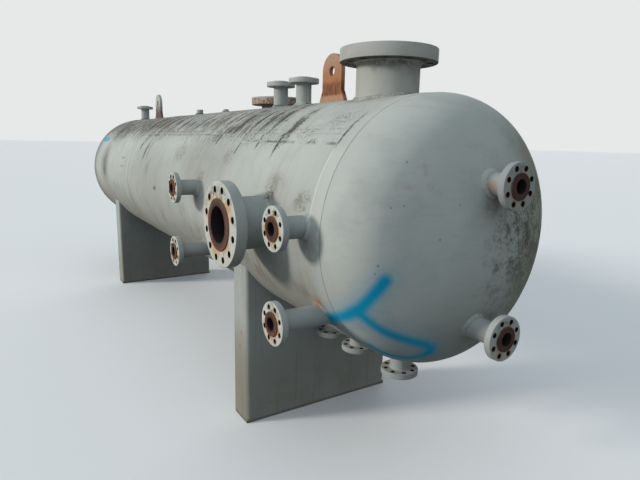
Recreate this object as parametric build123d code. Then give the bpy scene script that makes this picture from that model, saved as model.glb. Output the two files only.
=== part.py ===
"""Horizontal three-phase separator: a dished pressure vessel on two box saddles.

Millimetres, +Z up. The vessel lies along X with its nozzled near head at +X. The origin is
on the floor at the middle of the near saddle's foot. Stations along the vessel are measured
from the near tangent line, where the near head starts to curve, towards the far end.
"""
import math
import os

from build123d import *

# Vessel shell and heads
shell_od = 1066.8
wall = 31.75
tangent_length = 4614.0
straight_flange = 38.1
near_course_length = 2978.0
crown_ratio = 0.9
knuckle_ratio = 0.17
floor_clearance = 586.6

# Welds: low wide bands where the heads close the shell, a hair clear of its plate, and
# narrower beads on the plate seams
closing_band_width = 74.0
closing_band_height = 2.2
closing_band_lap = 16.0
seam_bead_width = 26.0
seam_bead_height = 2.5
weld_toe = 0.8
weld_seat = 0.05
weld_slope = 9.0
seam_bead_angle = 47.0
nozzle_weld_leg = 13.0

# Saddles
near_saddle_station = 880.0
far_saddle_from_end = 722.0
saddle_wrap = 118.4
saddle_depth = 152.4
saddle_plate = 12.7
saddle_corner = 22.0
back_plate_inset = 6.0
base_plate = 19.05
seat_gap = 0.3

# Class 600 long weld necks: outside, raised face, bolt centres from the rim, bolts, bolt
# hole, flange thickness, barrel outside and bore
FLANGE_2 = dict(od=165.1, face=92.1, edge=19.05, bolts=8, hole=19.05, thick=25.4, barrel=84.1, bore=50.8)
FLANGE_6 = dict(od=355.6, face=215.9, edge=31.75, bolts=12, hole=28.6, thick=47.6, barrel=222.3, bore=152.4)
FLANGE_8 = dict(od=419.1, face=269.9, edge=34.9, bolts=12, hole=31.8, thick=55.6, barrel=273.0, bore=203.2)
raised_face = 6.35
flange_edge = 2.0
neck_fillet = 6.0

# Nozzle projections run from the outside of the shell to the flange face, and on the head
# from the middle of the dome
side_projection = 133.6
large_side_projection = 186.1
top_large_projection = 202.6
top_small_projection = 146.6
drain_projection = 145.6
shoulder_projection = 92.6
head_projection = 94.2

# Nozzle stations, heights from the vessel axis, and the shoulder nozzle's sideways offset
side_near_station = 132.0
side_large_station = 501.0
side_far_station = 1307.0
near_gauge_upper = 36.0
far_gauge_upper = 78.0
gauge_spacing = 350.0
head_gauge_upper = 208.0
head_gauge_lower = -327.0
top_large_station = 337.0
top_near_station = 1046.0
top_middle_station = 1310.0
top_far_from_end = 128.0
drain_near_station = 165.0
drain_middle_station = 473.0
drain_rear_station = 706.0
shoulder_station = 1721.0
shoulder_offset = 200.0

# Lifting lugs
near_lug_station = 757.0
far_lug_from_end = 689.0
lug_plate = 22.0
lug_width = 168.0
lug_foot_width = 216.0
lug_foot_height = 12.0
lug_flare_height = 58.0
lug_eye = 46.0
lug_eye_height = 150.6

# Half couplings on top
near_coupling_station = 2157.0
far_coupling_from_weld = 302.0
near_coupling_od = 38.0
far_coupling_od = 51.0
near_coupling_bore = 24.0
far_coupling_bore = 31.0
near_coupling_height = 22.0
far_coupling_height = 40.0

shell_r = shell_od / 2
bore_r = shell_r - wall
crown_r = crown_ratio * 2 * bore_r
knuckle_r = knuckle_ratio * 2 * bore_r
# the two arcs of the head meet where the line through both centres leaves the axis
knuckle_centre_r = bore_r - knuckle_r
crown_centre_x = -math.sqrt((crown_r - knuckle_r) ** 2 - knuckle_centre_r ** 2)
head_depth = crown_centre_x + crown_r + wall
axis_height = floor_clearance + shell_r
near_weld_station = straight_flange
far_weld_station = tangent_length - straight_flange
course_weld_station = near_weld_station + near_course_length
far_coupling_station = course_weld_station - far_coupling_from_weld

SIDE = (0, -1, 0)
UP = (0, 0, 1)
DOWN = (0, 0, -1)
FRONT = (1, 0, 0)


def at_station(station):
    """X of a station measured from the near tangent line."""
    return near_saddle_station - station


def on_axis(station, across=0.0, height=0.0):
    """A point beside the vessel axis."""
    return Vector(at_station(station), across, axis_height + height)


def save(shape, name):
    os.makedirs("parts", exist_ok=True)
    export_step(shape, f"parts/{name}.step")


def x_cylinder(radius, first_station, last_station):
    """A round bar on the vessel axis between two stations."""
    plane = Plane(origin=on_axis(last_station), z_dir=(1, 0, 0))
    bar = Cylinder(radius, last_station - first_station, align=(Align.CENTER, Align.CENTER, Align.MIN))
    return plane * bar


def tube(first_station, last_station):
    """A rolled shell course."""
    outside = x_cylinder(shell_r, first_station, last_station)
    return outside - x_cylinder(bore_r, first_station, last_station)


def dish(thickness):
    """A solid dished end, its tangent line at x = 0 and its dome towards +X.

    The inside follows the usual two-to-one form, a crown of 0.9 and a knuckle of 0.17 of the
    inside diameter. A thickness moves the whole curve outward.
    """
    crown = crown_r + thickness
    knuckle = knuckle_r + thickness
    rim = bore_r + thickness
    lean = math.atan2(knuckle_centre_r, -crown_centre_x)
    half = (math.pi / 2 + lean) / 2
    join = (crown_centre_x + crown * math.cos(lean), crown * math.sin(lean))
    knuckle_mid = (knuckle * math.cos(half), knuckle_centre_r + knuckle * math.sin(half))
    crown_mid = (crown_centre_x + crown * math.cos(lean / 2), crown * math.sin(lean / 2))
    apex = (crown_centre_x + crown, 0)
    with BuildSketch(Plane.XY) as section:
        with BuildLine():
            Polyline((-straight_flange, 0), (-straight_flange, rim), (0, rim))
            ThreePointArc((0, rim), knuckle_mid, join)
            ThreePointArc(join, crown_mid, apex)
            Line(apex, (-straight_flange, 0))
        make_face()
    return revolve(section.sketch, Axis.X, 360)


def hollow_head():
    """A head of even thickness with its straight flange."""
    return dish(wall) - dish(0.0)


def barrel_rod(centre, direction, radius, length):
    """The round bar behind a flange face, as deep as the length."""
    bar = Cylinder(radius, length, align=(Align.CENTER, Align.CENTER, Align.MAX))
    return Plane(origin=centre, z_dir=direction) * bar


def barrel_depth(centre, direction, size):
    """How far a barrel runs back from its face to clear the inside of the wall all round."""
    edge = size["barrel"] / 2
    if direction == FRONT:
        rim = abs(centre.Z - axis_height) + edge
        inside = crown_centre_x + math.sqrt(crown_r ** 2 - rim ** 2)
        return head_depth + head_projection - inside
    if direction == SIDE:
        rim = abs(centre.Z - axis_height) + edge
        reach = -centre.Y
    else:
        rim = abs(centre.Y) + edge
        reach = abs(centre.Z - axis_height)
    return reach - math.sqrt(bore_r ** 2 - rim ** 2)


def nozzle(centre, direction, size):
    """A long weld neck: raised face, drilled flange and thick barrel in one forging."""
    flange_r = size["od"] / 2
    barrel_r = size["barrel"] / 2
    face_r = size["face"] / 2
    bore = size["bore"] / 2
    back = -raised_face - size["thick"]
    end = -barrel_depth(centre, direction, size)
    with BuildSketch(Plane.XZ) as section:
        with BuildLine():
            Polyline(
                (bore, end),
                (bore, 0),
                (face_r, 0),
                (face_r, -raised_face),
                (flange_r - flange_edge, -raised_face),
                (flange_r, -raised_face - flange_edge),
                (flange_r, back + flange_edge),
                (flange_r - flange_edge, back),
                (barrel_r + neck_fillet, back),
            )
            RadiusArc((barrel_r + neck_fillet, back), (barrel_r, back - neck_fillet), neck_fillet)
            Polyline((barrel_r, back - neck_fillet), (barrel_r, end), (bore, end))
        make_face()
    forging = revolve(section.sketch, Axis.Z, 360)
    # the bolt holes straddle the centre lines
    half_step = 180.0 / size["bolts"]
    drill = Pos(0, 0, back) * Cylinder(size["hole"] / 2, 2 * (size["thick"] + raised_face))
    for spot in PolarLocations(flange_r - size["edge"], size["bolts"], start_angle=half_step).locations:
        forging -= spot * drill
    return Plane(origin=centre, z_dir=direction) * forging


def fillet_weld(centre, direction, radius):
    """A fillet weld round a barrel or coupling where it enters the vessel."""
    ring = barrel_rod(centre, direction, radius + nozzle_weld_leg, shell_r)
    ring -= barrel_rod(centre, direction, radius, shell_r)
    if direction == FRONT:
        skin = Pos(*on_axis(0.0)) * (dish(wall + nozzle_weld_leg) - dish(wall))
        return ring & skin
    station = near_saddle_station - centre.X
    first = station - radius - 2 * nozzle_weld_leg
    last = station + radius + 2 * nozzle_weld_leg
    skin = x_cylinder(shell_r + nozzle_weld_leg, first, last) - x_cylinder(shell_r, first, last)
    return ring & skin


# Nozzles: name, forging, centre of the flange face, and the way it looks
side_reach = shell_r + side_projection
large_side_reach = shell_r + large_side_projection
large_top_reach = shell_r + top_large_projection
shoulder_reach = shell_r + shoulder_projection
small_top_reach = shell_r + top_small_projection
drain_reach = shell_r + drain_projection
head_face_station = -(head_depth + head_projection)
top_far_station = tangent_length - top_far_from_end
NOZZLES = [
    ("side_large_nozzle", FLANGE_6, on_axis(side_large_station, -large_side_reach), SIDE),
    ("top_large_nozzle", FLANGE_8, on_axis(top_large_station, 0, large_top_reach), UP),
    ("shoulder_nozzle", FLANGE_6, on_axis(shoulder_station, shoulder_offset, shoulder_reach), UP),
    ("head_gauge_nozzle_upper", FLANGE_2, on_axis(head_face_station, 0, head_gauge_upper), FRONT),
    ("head_gauge_nozzle_lower", FLANGE_2, on_axis(head_face_station, 0, head_gauge_lower), FRONT),
]
for end_name, station, upper in (
    ("near", side_near_station, near_gauge_upper),
    ("far", side_far_station, far_gauge_upper),
):
    for level_name, height in (("upper", upper), ("lower", upper - gauge_spacing)):
        name = f"side_gauge_nozzle_{end_name}_{level_name}"
        NOZZLES.append((name, FLANGE_2, on_axis(station, -side_reach, height), SIDE))
for place_name, station in (
    ("near", top_near_station),
    ("middle", top_middle_station),
    ("far", top_far_station),
):
    NOZZLES.append((f"top_small_nozzle_{place_name}", FLANGE_2, on_axis(station, 0, small_top_reach), UP))
for place_name, station in (
    ("near", drain_near_station),
    ("middle", drain_middle_station),
    ("rear", drain_rear_station),
):
    NOZZLES.append((f"drain_nozzle_{place_name}", FLANGE_2, on_axis(station, 0, -drain_reach), DOWN))

# Couplings: name, station, outside, bore and height
COUPLINGS = [
    ("top_coupling_near", near_coupling_station, near_coupling_od, near_coupling_bore, near_coupling_height),
    ("top_coupling_far", far_coupling_station, far_coupling_od, far_coupling_bore, far_coupling_height),
]

# Shell courses and heads, opened for what passes through them
near_course = tube(near_weld_station, course_weld_station)
far_course = tube(course_weld_station, far_weld_station)
near_head = Pos(*on_axis(0.0)) * hollow_head()
far_head = Pos(*on_axis(tangent_length)) * hollow_head().rotate(Axis.Z, 180)


def weld_cap(width, height, foot):
    """The top of a weld across its width: a small step, a slope, a flat, and back down."""
    edge = width / 2
    flat = edge - weld_slope
    top = shell_r + height
    toe = foot + weld_toe
    return [(-edge, foot), (-edge, toe), (-flat, top), (flat, top), (edge, toe), (edge, foot)]


def low_band(middle_station, width, height):
    """A low weld band round the shell."""
    with BuildSketch(Plane.XY) as section:
        with BuildLine():
            Polyline(*weld_cap(width, height, shell_r + weld_seat), close=True)
        make_face()
    return Pos(*on_axis(middle_station)) * revolve(section.sketch, Axis.X, 360)


near_band_station = near_weld_station - closing_band_lap + closing_band_width / 2
far_band_station = far_weld_station + closing_band_lap - closing_band_width / 2
near_band = low_band(near_band_station, closing_band_width, closing_band_height)
far_band = low_band(far_band_station, closing_band_width, closing_band_height)
course_bead = low_band(course_weld_station, seam_bead_width, seam_bead_height)

welds = {SIDE: [], UP: [], DOWN: [], FRONT: []}
for name, size, centre, direction in NOZZLES:
    depth = barrel_depth(centre, direction, size)
    barrel_r = size["barrel"] / 2
    hole = barrel_rod(centre, direction, barrel_r, depth + wall)
    first = near_saddle_station - centre.X - barrel_r - nozzle_weld_leg
    last = near_saddle_station - centre.X + barrel_r + nozzle_weld_leg
    if direction == FRONT:
        near_head -= hole
    else:
        if first < near_weld_station:
            near_head -= hole
        if first < near_band_station + closing_band_width / 2:
            near_band -= barrel_rod(centre, direction, barrel_r + nozzle_weld_leg, depth)
        if last > near_weld_station and first < course_weld_station:
            near_course -= hole
        if last > course_weld_station:
            far_course -= hole
        if last > far_band_station - closing_band_width / 2:
            far_band -= barrel_rod(centre, direction, barrel_r + nozzle_weld_leg, depth)
        if last > far_weld_station:
            far_head -= hole
    welds[direction].append(fillet_weld(centre, direction, barrel_r))
    save(nozzle(centre, direction, size), name)

for name, station, outside, bore, height in COUPLINGS:
    top = on_axis(station, 0, shell_r + height)
    body = barrel_rod(top, UP, outside / 2, height + wall)
    through = barrel_rod(top, UP, bore / 2, height + 3 * wall)
    near_course -= through
    seat = x_cylinder(shell_r, station - outside, station + outside)
    welds[UP].append(fillet_weld(top, UP, outside / 2))
    save(body - through - seat, name)

for direction, group in (
    (SIDE, "side_nozzle_welds"),
    (UP, "top_nozzle_welds"),
    (DOWN, "drain_nozzle_welds"),
    (FRONT, "head_nozzle_welds"),
):
    save(Compound(children=welds[direction]), group)

# The long seam of the near course: a low bead from the closing band to the course weld
seam_first = near_band_station + closing_band_width / 2
seam_last = course_weld_station - seam_bead_width / 2
seam_half = seam_bead_width / 2
seam_foot = math.sqrt(shell_r ** 2 - seam_half ** 2)
with BuildSketch(Plane.YZ) as seam_section:
    with BuildLine():
        ThreePointArc((-seam_half, seam_foot), (0, shell_r), (seam_half, seam_foot))
        Polyline(*weld_cap(seam_bead_width, seam_bead_height, seam_foot))
    make_face()
long_bead = extrude(seam_section.sketch, amount=seam_last - seam_first)
long_bead = Pos(*on_axis(seam_last)) * long_bead.rotate(Axis.X, seam_bead_angle)

save(near_course, "near_shell_course")
save(far_course, "far_shell_course")
save(near_head, "near_head")
save(far_head, "far_head")
save(near_band, "near_closing_weld")
save(far_band, "far_closing_weld")
save(course_bead, "shell_course_weld")
save(long_bead, "long_seam_weld")


def lifting_lug(station):
    """A plate eye standing along the vessel: wide foot, flared sides, round top."""
    low = shell_r - seat_gap
    side_foot = lug_foot_width / 2
    side_eye = lug_width / 2
    eye = shell_r + lug_eye_height
    with BuildSketch(Plane.XZ) as section:
        with BuildLine():
            Polyline(
                (-side_eye, eye),
                (-side_eye, shell_r + lug_flare_height),
                (-side_foot, shell_r + lug_foot_height),
                (-side_foot, low),
                (side_foot, low),
                (side_foot, shell_r + lug_foot_height),
                (side_eye, shell_r + lug_flare_height),
                (side_eye, eye),
            )
            ThreePointArc((side_eye, eye), (0, eye + side_eye), (-side_eye, eye))
        make_face()
        with Locations((0, eye)):
            Circle(lug_eye / 2, mode=Mode.SUBTRACT)
    plate = extrude(section.sketch, amount=lug_plate / 2, both=True)
    shell = x_cylinder(shell_r, station - lug_foot_width, station + lug_foot_width)
    return Pos(*on_axis(station)) * plate - shell


save(lifting_lug(near_lug_station), "near_lifting_lug")
save(lifting_lug(tangent_length - far_lug_from_end), "far_lifting_lug")


def save_saddle(station, end_name):
    """A box saddle: a front plate bent round at both ends, a back plate and a base plate.

    The upper edges follow the shell, whose round they are cut to.
    """
    half_width = shell_r * math.sin(math.radians(saddle_wrap / 2))
    round_cut = x_cylinder(shell_r + seat_gap, station - saddle_depth, station + saddle_depth)
    place = Pos(at_station(station), 0, base_plate)
    with BuildSketch() as plan:
        Rectangle(saddle_depth, 2 * half_width)
        fillet(plan.vertices().group_by(Axis.X)[-1], saddle_corner)
        with BuildSketch(mode=Mode.SUBTRACT) as inside:
            with Locations((-saddle_plate, 0)):
                Rectangle(saddle_depth, 2 * (half_width - saddle_plate))
            fillet(inside.vertices().group_by(Axis.X)[-1], saddle_corner - saddle_plate)
    front = place * extrude(plan.sketch, amount=axis_height - base_plate) - round_cut
    back = Box(
        saddle_plate,
        2 * (half_width - saddle_plate - seat_gap),
        axis_height - base_plate,
        align=(Align.MIN, Align.CENTER, Align.MIN),
    )
    back = place * Pos(back_plate_inset - saddle_depth / 2, 0, 0) * back - round_cut
    foot = Pos(at_station(station), 0, 0) * Box(
        saddle_depth, 2 * half_width, base_plate, align=(Align.CENTER, Align.CENTER, Align.MIN)
    )
    save(front, f"{end_name}_saddle_front_plate")
    save(back, f"{end_name}_saddle_back_plate")
    save(foot, f"{end_name}_saddle_base_plate")


save_saddle(near_saddle_station, "near")
save_saddle(tangent_length - far_saddle_from_end, "far")
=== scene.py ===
# %% [markdown]
# # A weathered three-phase separator
#
# A three-phase separator is a thick steel tank on its side. Oil, gas and water come in at one
# end, settle apart and leave through flanged nozzles. This one has stood outdoors for years.
# The first cell loads the measured model of it, node by node, at real size in metres. Everything
# made below sits in that same frame, so nothing has to be fitted by eye.

from collections import namedtuple
from functools import partialmethod, reduce
from math import atan2, cos, pi, radians, sin, sqrt
from operator import or_
from types import SimpleNamespace

import bmesh
import bpy
from mathutils import Matrix, Vector, noise


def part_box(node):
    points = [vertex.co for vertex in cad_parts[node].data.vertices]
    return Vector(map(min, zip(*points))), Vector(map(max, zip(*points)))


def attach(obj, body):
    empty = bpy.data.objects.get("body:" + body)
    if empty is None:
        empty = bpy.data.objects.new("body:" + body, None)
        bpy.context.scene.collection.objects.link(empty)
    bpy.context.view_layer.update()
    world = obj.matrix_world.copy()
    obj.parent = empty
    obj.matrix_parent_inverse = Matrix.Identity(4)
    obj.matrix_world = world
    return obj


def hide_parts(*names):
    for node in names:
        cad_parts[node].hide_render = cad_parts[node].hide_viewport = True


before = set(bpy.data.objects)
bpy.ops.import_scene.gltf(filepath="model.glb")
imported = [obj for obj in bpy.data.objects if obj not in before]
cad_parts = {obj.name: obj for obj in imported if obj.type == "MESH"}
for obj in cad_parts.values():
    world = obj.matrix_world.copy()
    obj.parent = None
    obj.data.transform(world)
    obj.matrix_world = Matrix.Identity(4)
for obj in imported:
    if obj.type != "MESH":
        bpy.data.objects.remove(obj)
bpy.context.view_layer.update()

# %% [markdown]
# ## The camera
#
# A photograph fixes where its camera stood, once a few sizes in it are known. Here the flange
# sizes gave the scale, and the round ends of the tank gave the direction. A new camera looks
# straight down. It is rolled a little there, then tipped up to its tilt, then turned to its
# heading. Written as three turns, each number keeps its meaning.

# %% Camera
camera_place = Vector((2.3098, -1.4631, 1.4617))
camera_heading = radians(147.298)
camera_tilt = radians(-11.033)
camera_roll = radians(1.253)
camera_lens = 28.497

camera_data = bpy.data.cameras.new("photo_camera")
camera_data.lens = camera_lens
camera_data.sensor_width = 36
camera_data.clip_end = 400
camera = bpy.data.objects.new("photo_camera", camera_data)
tipped = Matrix.Rotation(pi / 2 + camera_tilt, 4, "X") @ Matrix.Rotation(camera_roll, 4, "Z")
turned = Matrix.Rotation(camera_heading - pi / 2, 4, "Z") @ tipped
camera.matrix_world = Matrix.Translation(camera_place) @ turned
bpy.context.scene.collection.objects.link(camera)
bpy.context.scene.camera = camera
print("camera at", tuple(round(n, 3) for n in camera_place))

# %% [markdown]
# ## Reading the tank's sizes
#
# A few sizes drive the new pieces. A dished head has a crown and a knuckle that are fixed shares
# of its inside diameter, and the place of their centres follows from the two radii.

# %% Sizes
shell_radius = 0.5334
wall = 0.03175
axis_height = 1.12
near_tangent = 0.88
far_tangent = near_tangent - 4.614
straight_flange = 0.0381
course_weld = near_tangent - straight_flange - 2.978
bore_radius = shell_radius - wall
crown_radius = 0.9 * 2 * bore_radius
knuckle_radius = 0.17 * 2 * bore_radius
knuckle_centre = bore_radius - knuckle_radius
crown_centre = -sqrt((crown_radius - knuckle_radius) ** 2 - knuckle_centre ** 2)
axis_point = Vector((0, 0, axis_height))
print("course weld at", round(course_weld, 3), "crown radius", round(crown_radius, 3))

# %% [markdown]
# ## The table of nozzles
#
# A class of pipe flange is a short table of standard sizes, which suits a named tuple. The
# nozzles' places are read from the loaded nodes: the box of a nozzle ends at its flange face on
# one side and inside the wall on the other.

# %% Nozzle sizes and places
Flange = namedtuple("Flange", "radius face bolt_ring bolts hole thick barrel bore")
small = Flange(0.08255, 0.04605, 0.0635, 8, 0.009525, 0.0254, 0.04205, 0.0254)
large = Flange(0.1778, 0.10795, 0.14605, 12, 0.0143, 0.0476, 0.11115, 0.0762)
largest = Flange(0.20955, 0.13495, 0.17465, 12, 0.0159, 0.0556, 0.1365, 0.1016)
raised_face = 0.00635
flange_edge = 0.002
neck_fillet = 0.006
weld_leg = 0.013
weld_root = 0.002
Coupling = namedtuple("Coupling", "radius bore")
couplings = {"top_coupling_near": Coupling(0.019, 0.012), "top_coupling_far": Coupling(0.0255, 0.0155)}

side = Vector((0, -1, 0))
top = Vector((0, 0, 1))
bottom = Vector((0, 0, -1))
front = Vector((1, 0, 0))
nozzles = {
    "side_large_nozzle": (side, large),
    "top_large_nozzle": (top, largest),
    "shoulder_nozzle": (top, large),
}
for stem, direction, places in (
    ("head_gauge_nozzle_", front, ("upper", "lower")),
    ("side_gauge_nozzle_", side, ("near_upper", "near_lower", "far_upper", "far_lower")),
    ("top_small_nozzle_", top, ("near", "middle", "far")),
    ("drain_nozzle_", bottom, ("near", "middle", "rear")),
):
    for place in places:
        nozzles[stem + place] = (direction, small)


def face_and_depth(node, direction):
    """The middle of a nozzle's flange face, and how far the nozzle runs back from it."""
    low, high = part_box(node)
    half = (high - low) / 2
    reach = abs(half.dot(direction))
    return (low + high) / 2 + direction * reach, 2 * reach


print("nozzles:", len(nozzles))

# %% [markdown]
# ## Tools for round pieces
#
# Almost everything on a pressure vessel is turned or rolled, so one tool makes most of it: draw
# half a section as a chain of edges and spin it round an axis. Spinning is exact and keeps the
# faces in neat rings. Faces are then smoothed, apart from edges sharper than the limit.

# %% Spin a section
crease_limit = radians(32)


def arc(middle, radius, first, last, steps):
    """Points on an arc in (along, out), from one angle to another."""
    turns = [first + (last - first) * step / steps for step in range(steps + 1)]
    return [(middle[0] + radius * cos(turn), middle[1] + radius * sin(turn)) for turn in turns]


def lathe(section, foot, axis, steps):
    """Spins a closed section of (along, out) points once round an axis through foot."""
    bm = bmesh.new()
    outward = axis.orthogonal().normalized()
    corners = [bm.verts.new(foot + axis * along + outward * out) for along, out in section]
    edges = [bm.edges.new(pair) for pair in zip(corners, corners[1:] + corners[:1])]
    bmesh.ops.spin(bm, geom=corners + edges, cent=foot, axis=axis, angle=2 * pi, steps=steps, use_merge=True)
    bmesh.ops.remove_doubles(bm, verts=bm.verts, dist=1e-6)
    bmesh.ops.recalc_face_normals(bm, faces=bm.faces)
    return bm


def smooth(mesh):
    """Shades a mesh smooth, and keeps edges sharper than the limit crisp."""
    mesh.polygons.foreach_set("use_smooth", [True] * len(mesh.polygons))
    mesh.set_sharp_from_angle(angle=crease_limit)


def piece_from(bm, name, stands_for):
    """Turns a bmesh into a named piece that rides on the tank and stands for its node."""
    mesh = bpy.data.meshes.new(name)
    bm.to_mesh(mesh)
    bm.free()
    smooth(mesh)
    piece = bpy.data.objects.new(name, mesh)
    bpy.context.scene.collection.objects.link(piece)
    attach(piece, "root")
    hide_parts(stands_for)
    return piece


print("edges stay crisp beyond", round(crease_limit, 3), "radians")

# %% [markdown]
# ## Drilling holes
#
# A hole through a curved wall is awkward to build face by face. A Boolean modifier does what a
# drill does: all the rods for one piece are made as a single cutter, subtracted, and the result
# kept as the piece's mesh, so no cutter stays in the scene.

# %% Drill with a Boolean
def drill(piece, rods, sides=48):
    """Subtracts rods, each (start, direction, radius, length), from a piece."""
    bm = bmesh.new()
    for start, direction, radius, length in rods:
        turn = direction.to_track_quat("Z", "Y").to_matrix().to_4x4()
        place = Matrix.Translation(start + direction * length / 2) @ turn
        bmesh.ops.create_cone(
            bm, cap_ends=True, segments=sides, radius1=radius, radius2=radius, depth=length, matrix=place
        )
    mesh = bpy.data.meshes.new("rods")
    bm.to_mesh(mesh)
    bm.free()
    cutter = bpy.data.objects.new("rods", mesh)
    bpy.context.scene.collection.objects.link(cutter)
    cut = piece.modifiers.new("drill", "BOOLEAN")
    cut.object = cutter
    cut.solver = "EXACT"
    cut.operation = "DIFFERENCE"
    bpy.context.view_layer.update()
    drilled = bpy.data.meshes.new_from_object(piece.evaluated_get(bpy.context.evaluated_depsgraph_get()))
    piece.modifiers.clear()
    piece.data = drilled
    bpy.data.objects.remove(cutter)
    bpy.data.meshes.remove(mesh)
    smooth(drilled)


hole_clearance = 0.0004
wall_rods = []
for node, (direction, size) in nozzles.items():
    face, depth = face_and_depth(node, direction)
    wall_rods.append((face, -direction, size.barrel + hole_clearance, depth + 2 * wall))
print("rods for the wall:", len(wall_rods))

# %% [markdown]
# ## The rolled shell
#
# The shell is rolled from two plates about 32 mm thick. A spun rectangle gives each of them a
# real wall, with its outside split into rings so that no face gets too long. The nozzles' holes
# go through the wall, so that a look down a nozzle ends in the dark inside.

# %% Shell courses
shell_steps = 192
course_rings = 24


def course(first, last):
    """A rolled course between two places along the tank, with rings of faces along it."""
    span = last - first
    outer = [(first + span * ring / course_rings, shell_radius) for ring in range(course_rings + 1)]
    inner = [(last, bore_radius), (first, bore_radius)]
    return lathe(outer + inner, axis_point, front, shell_steps)


near_end = near_tangent - straight_flange
far_end = far_tangent + straight_flange
near_course = piece_from(course(course_weld, near_end), "near_course_wall", "near_shell_course")
far_course = piece_from(course(far_end, course_weld), "far_course_wall", "far_shell_course")

coupling_rods = []
for node, coupling in couplings.items():
    face, depth = face_and_depth(node, top)
    coupling_rods.append((face, -top, coupling.bore, depth + 2 * wall))
drill(near_course, [rod for rod in wall_rods if rod[1].x == 0 and rod[0].x > course_weld] + coupling_rods)
drill(far_course, [rod for rod in wall_rods if rod[1].x == 0 and rod[0].x < course_weld])
print("course faces:", len(near_course.data.polygons), len(far_course.data.polygons))

# %% [markdown]
# ## The dished heads
#
# Each end is a shallow crown that turns through a tighter knuckle into a short straight flange.
# That section is two arcs, so it is written as two arcs, once for the outside and once for the
# inside, and spun.

# %% Dished heads
lean = atan2(knuckle_centre, -crown_centre)


def dish(thickness, steps):
    """A dished section from its straight flange to the pole, moved outward by a thickness."""
    rim = [(-straight_flange, bore_radius + thickness)]
    knuckle = arc((0, knuckle_centre), knuckle_radius + thickness, pi / 2, lean, steps)
    crown = arc((crown_centre, 0), crown_radius + thickness, lean, 0, steps)
    return rim + knuckle + crown[1:]


def head(tangent, outward):
    section = dish(wall, 26) + list(reversed(dish(0, 12)))
    return lathe(section, axis_point + front * tangent, outward, shell_steps)


near_head = piece_from(head(near_tangent, front), "near_head_dish", "near_head")
far_head = piece_from(head(far_tangent, -front), "far_head_dish", "far_head")
drill(near_head, [rod for rod in wall_rods if rod[1].x != 0])
print("near head faces:", len(near_head.data.polygons))

# %% [markdown]
# ## Welds round the shell
#
# A weld is never quite even: the welder's weave leaves fine ripples. The heads are closed with a
# broad, low band, and the two plates meet at a narrower bead. All three are spun like the rest.
# Then their points are sunk a little, by a wave along the bead and some noise.

# %% Girth welds
ripple_length = 0.009
ripple_depth = 0.0004
weld_toe = 0.0008
bead_steps = 768


def ripple(turn, radius, strength):
    """The height of weld ripples at a turn round a bead."""
    wave = sin(turn * radius * 2 * pi / ripple_length)
    rough = noise.noise(Vector((cos(turn) * 9, sin(turn) * 9, radius * 40)))
    return strength * (0.6 * wave + rough)


def girth_weld(middle, width, height):
    """A rippled band of weld round the shell."""
    section = [(-width / 2, shell_radius - weld_root), (-width / 2, shell_radius + weld_toe)]
    for step in range(1, 10):
        share = step / 10
        rise = weld_toe + (height - weld_toe) * sin(pi * share)
        section.append(((share - 0.5) * width, shell_radius + rise))
    section += [(width / 2, shell_radius + weld_toe), (width / 2, shell_radius - weld_root)]
    bm = lathe(section, axis_point + front * middle, front, bead_steps)
    for vert in bm.verts:
        arm = vert.co - axis_point
        arm.x = 0
        if arm.length > shell_radius + weld_toe / 2:
            lift = ripple(atan2(arm.y, arm.z), shell_radius, ripple_depth)
            vert.co += arm.normalized() * max(min(lift, 0), -weld_toe)
    return bm


closing_width = 0.074
closing_height = 0.0022
closing_lap = 0.016
bead_width = 0.026
bead_height = 0.0025
band_rods = [(start, way, radius + weld_leg * 0.6, length) for start, way, radius, length in wall_rods]
band_shift = straight_flange - closing_lap + closing_width / 2
band_middles = {"near": near_tangent - band_shift, "far": far_tangent + band_shift}
bands = []
for end, middle in band_middles.items():
    band = girth_weld(middle, closing_width, closing_height)
    bands.append(piece_from(band, end + "_closing_band", end + "_closing_weld"))
    drill(bands[-1], [rod for rod in band_rods if abs(rod[0].x - middle) < 0.1 and rod[1].x == 0])
middle_bead = piece_from(girth_weld(course_weld, bead_width, bead_height), "course_bead", "shell_course_weld")
print("girth welds made")

# %% [markdown]
# ## The long seam
#
# A rolled plate is closed by a straight weld along the tank. It has one arched section all the
# way, so its end face is drawn out to the full length. Cuts across it then give the ripples
# their points.

# %% Long seam weld
seam_angle = radians(47)
seam_first = band_middles["near"] - closing_width / 2
seam_last = course_weld + bead_width / 2
seam_steps = 360

bm = bmesh.new()
half_turn = bead_width / 2 / shell_radius
arch = [(shell_radius + bead_height * cos((step / 4 - 1) * pi / 2), step / 4 - 1) for step in range(9)]
foot_line = []
for radius, share in arch + [(shell_radius - weld_root, 1), (shell_radius - weld_root, -1)]:
    turn = seam_angle + half_turn * share
    foot_line.append(bm.verts.new((seam_first, -radius * sin(turn), axis_height + radius * cos(turn))))
end_face = bm.faces.new(foot_line)
drawn = bmesh.ops.extrude_face_region(bm, geom=[end_face])
moved = [item for item in drawn["geom"] if isinstance(item, bmesh.types.BMVert)]
bmesh.ops.translate(bm, verts=moved, vec=(seam_last - seam_first, 0, 0))
long_edges = [edge for edge in bm.edges if abs(edge.verts[0].co.x - edge.verts[1].co.x) > 0.1]
bmesh.ops.subdivide_edges(bm, edges=long_edges, cuts=seam_steps, use_grid_fill=True)
for vert in bm.verts:
    arm = Vector((0, vert.co.y, vert.co.z - axis_height))
    if arm.length > shell_radius + weld_toe / 2:
        vert.co += arm.normalized() * min(ripple(vert.co.x, 1, ripple_depth), 0)
bmesh.ops.recalc_face_normals(bm, faces=bm.faces)
long_bead = piece_from(bm, "long_seam_bead", "long_seam_weld")
print("long seam faces:", len(long_bead.data.polygons))

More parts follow.
